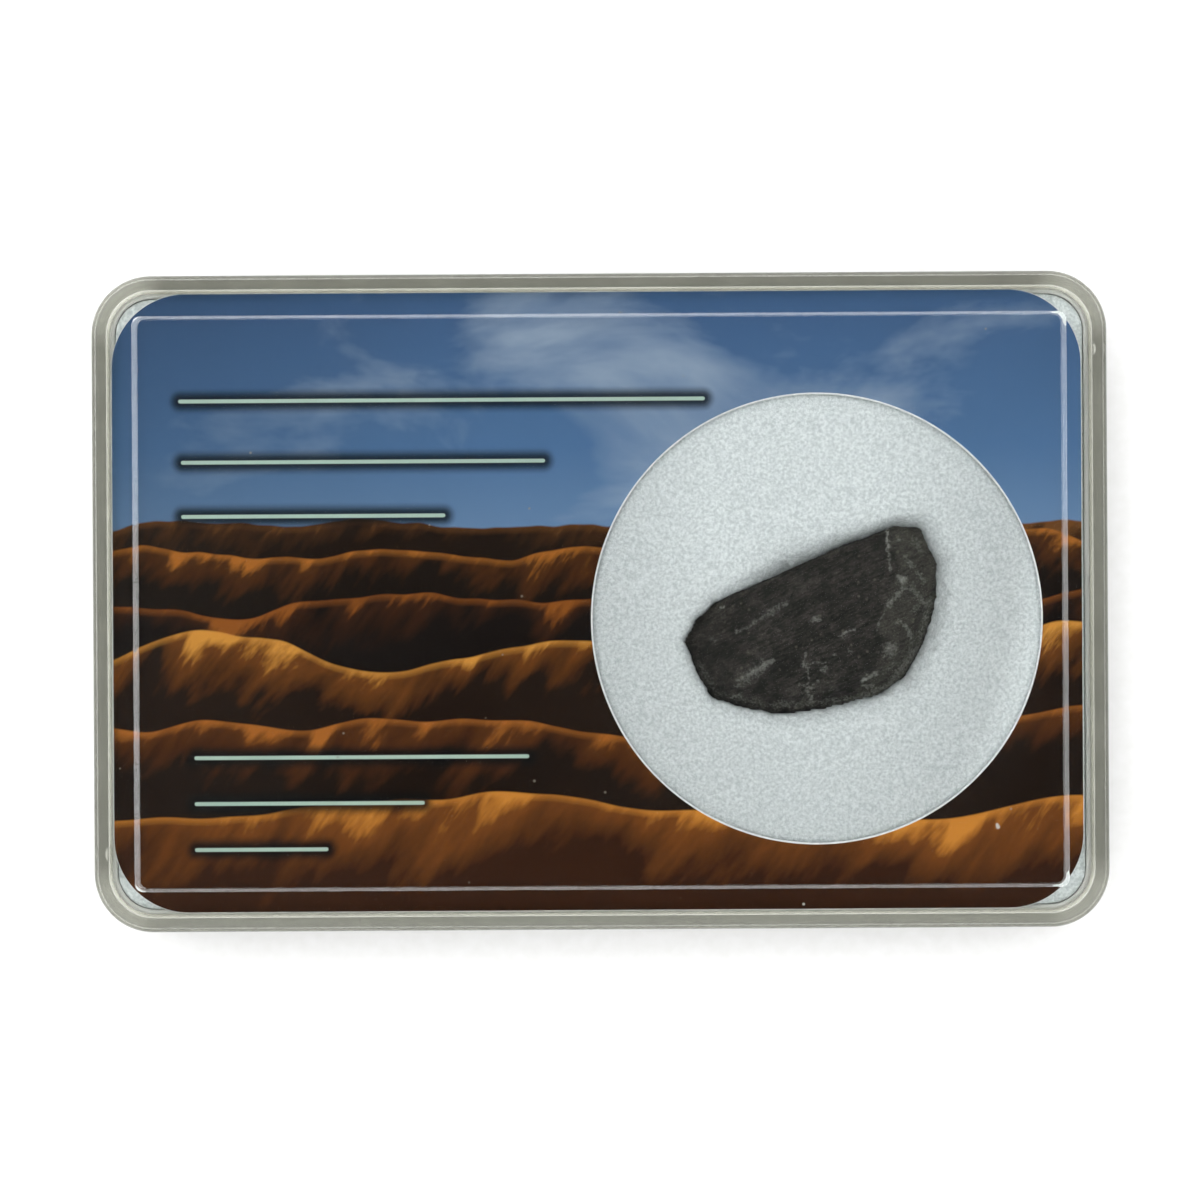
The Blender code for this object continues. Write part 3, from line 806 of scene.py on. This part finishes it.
# %% Shape the foam
FOAM_CORNER = CORNER_RADIUS - NECK_INSET - NECK_WALL
foam_spread = Vector((foam_low.x - base_low.x - NECK_INSET - NECK_WALL - 0.03 * MM,) * 2 + (0.0,))
foam = rounded_block("foam", foam_low - foam_spread, foam_high + foam_spread, FOAM_CORNER, 6)
bpy.ops.object.mode_set(mode="EDIT")
round_ring(foam, foam_high.z, 0.2 * MM, 2)
bpy.ops.object.mode_set(mode="OBJECT")
bpy.ops.object.modifier_add(type="REMESH")
foam.modifiers[-1].mode = "SHARP"
foam.modifiers[-1].octree_depth = 7
foam.modifiers[-1].scale = 0.97
bpy.ops.object.modifier_apply(modifier=foam.modifiers[-1].name)
bpy.ops.object.mode_set(mode="EDIT")
pick_faces(foam, lambda middle, normal: normal.z > 0.9
           and (middle.xy - WINDOW_CENTRE.xy).length < WINDOW_RADIUS + 0.8 * MM)
bpy.ops.mesh.subdivide(number_cuts=3)
bpy.ops.object.mode_set(mode="OBJECT")

TOUCH = 0.03 * MM
BULGE = 0.7 * MM
DIP_HEADINGS = (-180, -150, -90, -45, 0, 40, 90, 120, 150, 180)
DIP_DEPTHS = (0.6, 0.7, 1.1, 1.4, 2.1, 1.9, 2.2, 2.6, 1.5, 0.6)
DIP_WIDTHS = (0.5, 0.5, 0.8, 0.8, 0.75, 0.7, 0.8, 1.0, 0.8, 0.5)


def stone_underside(points):
    """The height of the stone's underside over each point, or a large height away from the stone."""
    corners = [vertex.co for vertex in stone.data.vertices]
    tree = BVHTree.FromPolygons(corners, [face.vertices for face in stone.data.polygons])
    heights = np.full(len(points), 1.0)
    for number, (x, y, _) in enumerate(points):
        hit = tree.ray_cast(Vector((x, y, foam_low.z)), Vector((0.0, 0.0, 1.0)))[0]
        if hit is not None:
            heights[number] = hit.z
    return heights


def press_foam(points):
    """Move the pad's points: a bulge in the window, a dip to the stone, the pocket under it, and lumps."""
    moved = points.copy()
    x, y, z = points.T
    away = outside_by(x, y)
    on_top = z > foam_high.z - 0.3 * MM
    from_centre = np.hypot(x - WINDOW_CENTRE.x, y - WINDOW_CENTRE.y) / WINDOW_RADIUS
    bulge = BULGE * np.clip(1.0 - from_centre ** 2, 0.0, 1.0)
    heading = np.degrees(np.arctan2(y - STONE_CENTRE.y, x - STONE_CENTRE.x))
    depth = np.interp(heading, DIP_HEADINGS, DIP_DEPTHS) * MM
    width = np.interp(heading, DIP_HEADINGS, DIP_WIDTHS) * MM
    ragged = np.array([noise.noise(Vector(p) / MM * 1.9) for p in points]) * 0.25 * MM
    dip = depth * np.exp(-(np.clip(away + ragged, 0.0, None) / width) ** 1.3)
    lumps = np.array([noise.noise(Vector(p) / MM * 0.9) for p in points])
    fluff = np.array([noise.noise(Vector(p) / MM * 2.4) for p in points])
    rough = (0.05 * lumps + 0.045 * fluff) * MM
    pressed = np.minimum(z + bulge - dip + rough, stone_underside(points) - TOUCH)
    moved[:, 2] = np.where(on_top, pressed, z)
    return moved


flat = np.empty(len(foam.data.vertices) * 3)
foam.data.vertices.foreach_get("co", flat)
foam.data.vertices.foreach_set("co", press_foam(flat.reshape(-1, 3)).ravel())
foam.data.update()
finish(foam, 80)
flat = np.empty(len(foam.data.vertices) * 3)
foam.data.vertices.foreach_get("co", flat)
x, y, z = flat.reshape(-1, 3).T
# Painted contact shadow: the foam's colour is darkened along the stone's edge, widest where the dip is widest.
fray = np.array([noise.noise(Vector((a / MM * 2.1, b / MM * 2.1, 4.0))) for a, b in zip(x, y)])
heading = np.degrees(np.arctan2(y - STONE_CENTRE.y, x - STONE_CENTRE.x))
reach = np.interp(heading, DIP_HEADINGS, DIP_WIDTHS) * 0.42 * MM
contact_shadow = np.exp(-np.clip(outside_by(x, y) + (0.3 + 0.3 * fray) * MM, 0.0, None) / reach)
painted = foam.data.attributes.new("stone_dust", "FLOAT", "POINT")
painted.data.foreach_set("value", contact_shadow.astype(np.float32))

# %% [markdown]
# The foam scatters light inside, so it is nearly white with soft shadows. Its fine cells give a granular
# surface of about a third of a millimetre, which the bump and a slight mottling draw. In the window its
# colour carries painted light and shade: brightest round one spot, as a painted pool of light, and darker
# away from it, as painted shade. Farther out, under the card and in the corners beside it, it is painted a
# little brighter again.

# %% White foam
PAINTED_LIGHT_CENTRE = (17.0, 8.0)
PAINTED_LIGHT_SHAPE = (1.25, 0.7)


def white_foam():
    material, tree, shader = new_material("white_open_cell_foam")
    place = place_in_mm(tree)
    cells = add(tree, "TexNoise", {"Scale": 3.6, "Detail": 4.0, "Roughness": 0.75}, {"Vector": place})
    mottle = add(tree, "ValToRGB", {"stops": ((0.38, "#c0c8ca"), (0.62, "#e7edee"))}, {"Fac": cells})
    # Painted light and shade: the foam's colour is brightest round one spot and darker away from it, then
    # painted a little brighter again beyond the window.
    spot_x, spot_y = PAINTED_LIGHT_CENTRE
    wide, tall = PAINTED_LIGHT_SHAPE
    from_spot = add(tree, "Mapping", {"Location": (-spot_x * wide, -spot_y * tall, 0.0),
                                      "Scale": (wide, tall, 0.0)}, {"Vector": place})
    aside = add(tree, "VectorMath", {"operation": "LENGTH"}, {0: from_spot})
    painted_shade = add(tree, "MapRange", {"From Min": 9.0, "From Max": 21.5, "To Min": 1.0, "To Max": 0.82},
               {"Value": aside})
    painted_corner_light = add(tree, "MapRange", {"From Min": 23.0, "From Max": 27.0, "To Min": 0.82, "To Max": 1.06},
                  {"Value": aside})
    painted_light_level = add(tree, "Math", {"operation": "MAXIMUM"}, {0: painted_shade, 1: painted_corner_light})
    painted_light_on_mottle = add(tree, "VectorMath", {"operation": "SCALE"}, {0: mottle, "Scale": painted_light_level})
    # Painted contact shadow: a dark grey laid along the stone's edge.
    dust_and_contact_shadow = add(tree, "Attribute", {"attribute_name": "stone_dust"})
    contact_shadow_share = add(tree, "Math", {"operation": "MULTIPLY", 1: 0.62}, {0: dust_and_contact_shadow.outputs["Fac"]})
    dusty_and_shadowed = add(tree, "Mix", {"data_type": "RGBA", 7: colour("#3a3937")}, {0: contact_shadow_share, 6: painted_light_on_mottle})
    tree.links.new(dusty_and_shadowed.outputs[2], shader.inputs["Base Color"])
    shader.inputs["Roughness"].default_value = 0.95
    shader.inputs["Specular IOR Level"].default_value = 0.2
    bump = add(tree, "Bump", {"Strength": 0.7, "Distance": 0.16 * MM}, {"Height": cells})
    tree.links.new(bump.outputs["Normal"], shader.inputs["Normal"])
    return material


foam.data.materials.clear()
foam.data.materials.append(white_foam())
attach(foam, "root")
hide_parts("foam_pad")

# %% [markdown]
# ## The printed card
# The card is 0.3 mm board with punched corners and a punched round window. The punch lifts the edge of
# the window a little and bares the white core, which shows as a thin bright ring. The block is rounded,
# cut by a round tool, and the window's upper edge is bevelled.

# %% Shape the card
card = rounded_block("printed_card", card_low, card_high, CARD_CORNER, 20)
bpy.ops.mesh.primitive_cylinder_add(vertices=240, radius=WINDOW_RADIUS, depth=4.0 * MM,
                                    location=WINDOW_CENTRE + Vector((0.0, 0.0, card_low.z)))
combine(card, settle("window_punch"), "DIFFERENCE")
take(card)
bpy.ops.object.mode_set(mode="EDIT")
pick_edges(card, lambda a, b, normals: sharp_ring(card_high.z)(a, b, normals)
           and (a.xy - WINDOW_CENTRE.xy).length < WINDOW_RADIUS + 0.5 * MM)
bpy.ops.mesh.bevel(offset=0.14 * MM, segments=2, affect="EDGES")
pick_edges(card, lambda a, b, normals: sharp_ring(card_high.z)(a, b, normals)
           and (a.xy - WINDOW_CENTRE.xy).length > WINDOW_RADIUS + 0.5 * MM)
bpy.ops.mesh.bevel(offset=0.05 * MM, segments=2, affect="EDGES")
bpy.ops.object.mode_set(mode="OBJECT")
finish(card, 40)

# %% [markdown]
# The print is a generic landscape: a blue sky with soft clouds over rows of rocky ridges in gold, rust
# and umber. Each ridge is a line of noise across the card. Its crest catches the light and it darkens
# downwards, and the nearer ones are laid over the farther ones. Six blank rules to write on, pale with a
# dark halo, and a few specks of dust lie over the picture. It is all worked out from the place on the
# card, in mm.

# %% Inkjet print and bare board
RIDGES = (
    # height of the line, rise and fall, length of wave, seed, crest, middle, foot, depth, width of a spur
    (6.6, 0.9, 13.0, 3.1, "#65401f", "#36200c", "#190e06", 3.4, 1.6),
    (4.2, 1.5, 19.0, 11.7, "#a06225", "#45260c", "#130a04", 4.6, 2.2),
    (0.4, 1.9, 24.0, 23.9, "#874d1c", "#311908", "#0e0603", 4.4, 2.8),
    (-4.2, 2.5, 31.0, 37.3, "#c78a3a", "#643914", "#1b0e05", 5.8, 3.6),
    (-10.6, 2.8, 37.0, 48.1, "#a06025", "#4e2a0e", "#180c04", 6.4, 4.4),
    (-18.0, 2.6, 43.0, 57.7, "#c07d30", "#6c3d15", "#301808", 8.0, 5.4),
)


RULES = (
    # left end, right end and height of each blank writing rule, in mm
    (-35.6, 8.8, 17.2), (-35.4, -4.8, 12.0), (-35.4, -13.3, 7.4),
    (-34.4, -6.3, -13.1), (-34.4, -15.2, -17.0), (-34.4, -23.4, -20.9),
)


SPECKS = (
    # place and radius of each speck of dust on the print, in mm
    (33.65, -19.35, 0.21), (33.58, -19.15, 0.16), (17.1, -25.8, 0.14),
)


def printed_card():
    material, tree, shader = new_material("inkjet_print_on_satin_board")
    place = place_in_mm(tree)
    split = add(tree, "SeparateXYZ", None, {"Vector": place})
    x, y = split.outputs["X"], split.outputs["Y"]
    height = add(tree, "MapRange", {"From Min": 2.0, "From Max": 27.0}, {"Value": y})
    blue = add(tree, "ValToRGB", {"stops": ((0.0, "#6c89a9"), (0.45, "#4b6c93"), (1.0, "#3b577c"))},
               {"Fac": height})
    drawn_out = add(tree, "Mapping", {"Scale": (0.6, 1.15, 1.0), "Rotation": (0.0, 0.0, 0.25)},
                    {"Vector": place})
    billows = add(tree, "TexNoise", {"Scale": 0.075, "Detail": 7.0, "Roughness": 0.55, "Distortion": 0.4},
                  {"Vector": drawn_out})
    cloud = add(tree, "MapRange", {"From Min": 0.50, "From Max": 0.76, "To Max": 0.55},
                {"Value": billows})
    clouded = add(tree, "Mix", {"data_type": "RGBA", 7: colour("#b4c2cf")}, {0: cloud, 6: blue})
    deeper = add(tree, "MapRange", {"From Min": -40.0, "From Max": -8.0, "To Min": 0.72}, {"Value": x})
    picture = add(tree, "VectorMath", {"operation": "SCALE"},
                  {0: clouded, "Scale": deeper}).outputs["Vector"]
    light_patches = add(tree, "TexNoise", {"Scale": 0.085, "Detail": 2.0}, {"Vector": place})
    for base_y, swing, wave, seed, crest, middle, foot, fall, spur in RIDGES:
        along = add(tree, "Math", {"operation": "MULTIPLY_ADD", 1: 1.0 / wave, 2: seed}, {0: x})
        line = add(tree, "TexNoise", {"noise_dimensions": "1D", "Scale": 1.0, "Detail": 3.0,
                                      "Roughness": 0.42}, {"W": along})
        level = add(tree, "Math", {"operation": "MULTIPLY_ADD", 1: 4.0 * swing, 2: base_y - 2.0 * swing},
                    {0: line})
        below = add(tree, "Math", {"operation": "SUBTRACT"}, {0: level, 1: y})
        covers = add(tree, "MapRange", {"From Min": -0.05, "From Max": 0.12}, {"Value": below})
        slant = add(tree, "Math", {"operation": "MULTIPLY_ADD", 1: 0.7}, {0: below, 2: x})
        spread = add(tree, "Math", {"operation": "MULTIPLY", 1: 0.35}, {0: below})
        flank = add(tree, "CombineXYZ", {"Z": seed}, {"X": slant, "Y": spread})
        spurs = add(tree, "TexNoise", {"Scale": 1.0 / spur, "Detail": 5.0, "Roughness": 0.6},
                    {"Vector": flank})
        uneven = add(tree, "Math", {"operation": "MULTIPLY_ADD", 1: 2.4 * fall, 2: -1.2 * fall},
                     {0: spurs})
        lit = add(tree, "Math", {"operation": "MULTIPLY_ADD", 1: -7.0, 2: 4.4}, {0: light_patches})
        shift = add(tree, "Math", {"operation": "ADD"}, {0: uneven, 1: lit})
        shaded = add(tree, "Math", {"operation": "ADD"}, {0: below, 1: shift})
        share = add(tree, "MapRange", {"From Max": fall}, {"Value": shaded})
        slope = add(tree, "ValToRGB", {"stops": ((0.0, crest), (0.28, middle), (0.85, foot))},
                    {"Fac": share})
        rim = add(tree, "MapRange", {"From Min": 0.1, "From Max": 0.7, "To Min": 0.55, "To Max": 0.0},
                  {"Value": below})
        edged = add(tree, "Mix", {"data_type": "RGBA", 7: colour(crest)}, {0: rim, 6: slope})
        picture = add(tree, "Mix", {"data_type": "RGBA"},
                      {0: covers, 6: picture, 7: edged}).outputs[2]
    for left, right, rule_y in RULES:
        from_middle = add(tree, "Math", {"operation": "SUBTRACT", 1: (left + right) / 2}, {0: x})
        sideways = add(tree, "Math", {"operation": "ABSOLUTE"}, {0: from_middle})
        past_end = add(tree, "Math", {"operation": "SUBTRACT", 1: (right - left) / 2}, {0: sideways})
        beyond = add(tree, "Math", {"operation": "MAXIMUM", 1: 0.0}, {0: past_end})
        above = add(tree, "Math", {"operation": "SUBTRACT", 1: rule_y}, {0: y})
        corner = add(tree, "CombineXYZ", None, {"X": beyond, "Y": above})
        from_rule = add(tree, "VectorMath", {"operation": "LENGTH"}, {0: corner})
        shade = add(tree, "MapRange", {"interpolation_type": "SMOOTHSTEP", "From Min": 0.25,
                                       "From Max": 1.25, "To Min": 0.9, "To Max": 0.0},
                    {"Value": from_rule})
        picture = add(tree, "Mix", {"data_type": "RGBA", 7: colour("#05090a")},
                      {0: shade, 6: picture}).outputs[2]
        stroke = add(tree, "MapRange", {"From Min": 0.13, "From Max": 0.19, "To Min": 1.0, "To Max": 0.0},
                     {"Value": from_rule})
        picture = add(tree, "Mix", {"data_type": "RGBA", 7: colour("#a9c0b3")},
                      {0: stroke, 6: picture}).outputs[2]
    flecks = add(tree, "TexVoronoi", {"Scale": 0.33}, {"Vector": place})
    fleck = add(tree, "MapRange", {"From Min": 0.030, "From Max": 0.045, "To Min": 0.6, "To Max": 0.0},
                {"Value": flecks})
    dusty_and_shadowed = add(tree, "Mix", {"data_type": "RGBA", 7: colour("#8f8a80")}, {0: fleck, 6: picture})
    picture = dusty_and_shadowed.outputs[2]
    for speck_x, speck_y, radius in SPECKS:
        away = add(tree, "VectorMath", {"operation": "DISTANCE", 1: (speck_x, speck_y, card_high.z / MM)},
                   {0: place})
        speck = add(tree, "MapRange", {"From Min": 0.6 * radius, "From Max": radius, "To Min": 0.8,
                                       "To Max": 0.0}, {"Value": away})
        picture = add(tree, "Mix", {"data_type": "RGBA", 7: colour("#c9c8c0")},
                      {0: speck, 6: picture}).outputs[2]
    tree.links.new(picture, shader.inputs["Base Color"])
    shader.inputs["Roughness"].default_value = 0.34
    shader.inputs["Specular IOR Level"].default_value = 0.03
    grain = add(tree, "TexNoise", {"Scale": 3.0, "Detail": 3.0}, {"Vector": place})
    bump = add(tree, "Bump", {"Strength": 0.12, "Distance": 0.03 * MM}, {"Height": grain})
    tree.links.new(bump.outputs["Normal"], shader.inputs["Normal"])
    return material


def bare_board():
    material, tree, shader = new_material("white_cut_board")
    coords = add(tree, "TexCoord")
    fibre = add(tree, "TexNoise", {"Scale": 3000.0, "Detail": 3.0}, {"Vector": coords.outputs["Object"]})
    tone = add(tree, "ValToRGB", {"stops": ((0.3, "#d9dde0"), (0.7, "#f3f4f4"))}, {"Fac": fibre})
    tree.links.new(tone.outputs["Color"], shader.inputs["Base Color"])
    shader.inputs["Roughness"].default_value = 0.85
    return material


card.data.materials.clear()
card.data.materials.append(printed_card())
card.data.materials.append(bare_board())
for face in card.data.polygons:
    face.material_index = 0 if face.normal.z > 0.995 else 1
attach(card, "root")
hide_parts("label_card")
